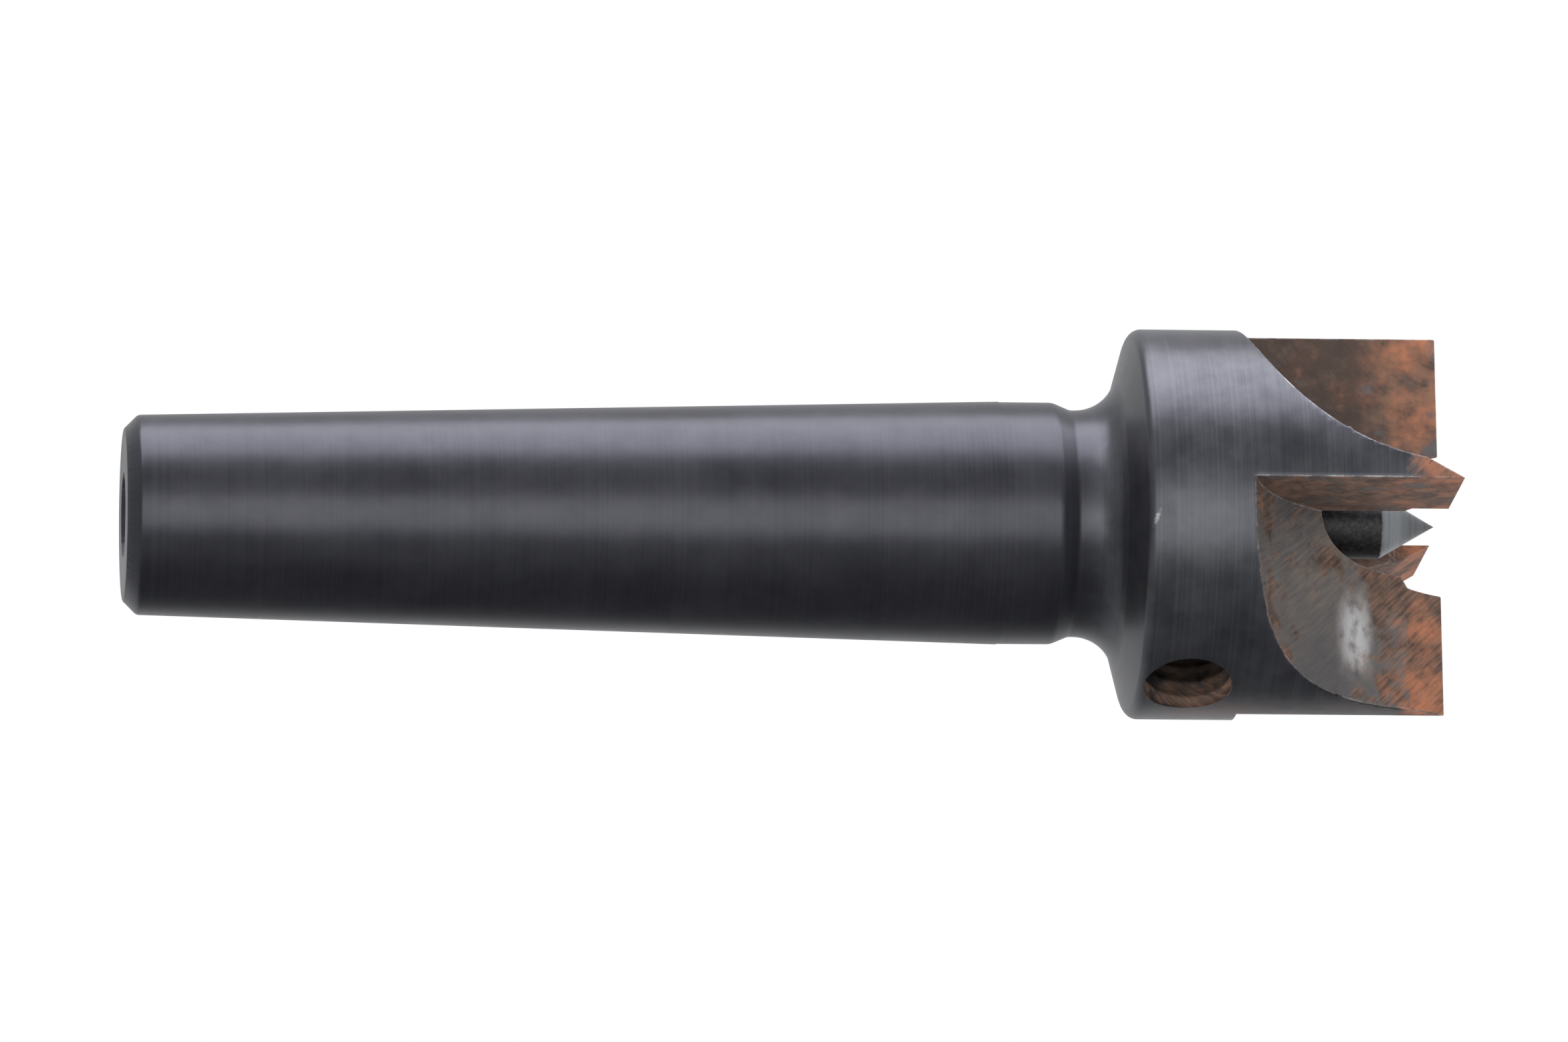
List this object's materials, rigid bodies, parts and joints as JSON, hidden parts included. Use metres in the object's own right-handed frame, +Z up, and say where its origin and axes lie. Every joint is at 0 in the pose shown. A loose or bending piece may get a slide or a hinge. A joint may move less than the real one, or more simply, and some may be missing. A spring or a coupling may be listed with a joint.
{
  "type": "live center",
  "caption": "Spur drive centre for a wood lathe headstock: tapered shank, fluted head with chisel-edged spurs and a removable point held by a set screw.",
  "frame": {"origin": "on the centre's axis at the gauge line of the taper, where the shank enters the spindle nose", "axes": "+X along the axis, from the shank to the spurs; +Z up, so that one spur stands almost upright"},
  "size_m": [0.0967, 0.0286, 0.0286],
  "materials": {
    "black_oxide_steel": "black oxide over turned steel, satin, with light rust on the spurs",
    "bright_steel": "ground cone on a dark pin",
    "screw_steel": "black oxide, dull, with a little rust"
  },
  "bodies": {
    "body": {"center_body": "black_oxide_steel"},
    "point": {"center_point": "bright_steel"},
    "set_screw": {"point_set_screw": "screw_steel"}
  },
  "joints": [
    {"name": "point_slide", "type": "slide", "parent": "body", "child": "point", "axis": [1, 0, 0], "range_m": [-0.001, 0.0125]},
    {"name": "set_screw_travel", "type": "slide", "parent": "body", "child": "set_screw", "axis": [0, -0.5299, -0.848], "range_m": [0, 0.00508]}
  ]
}
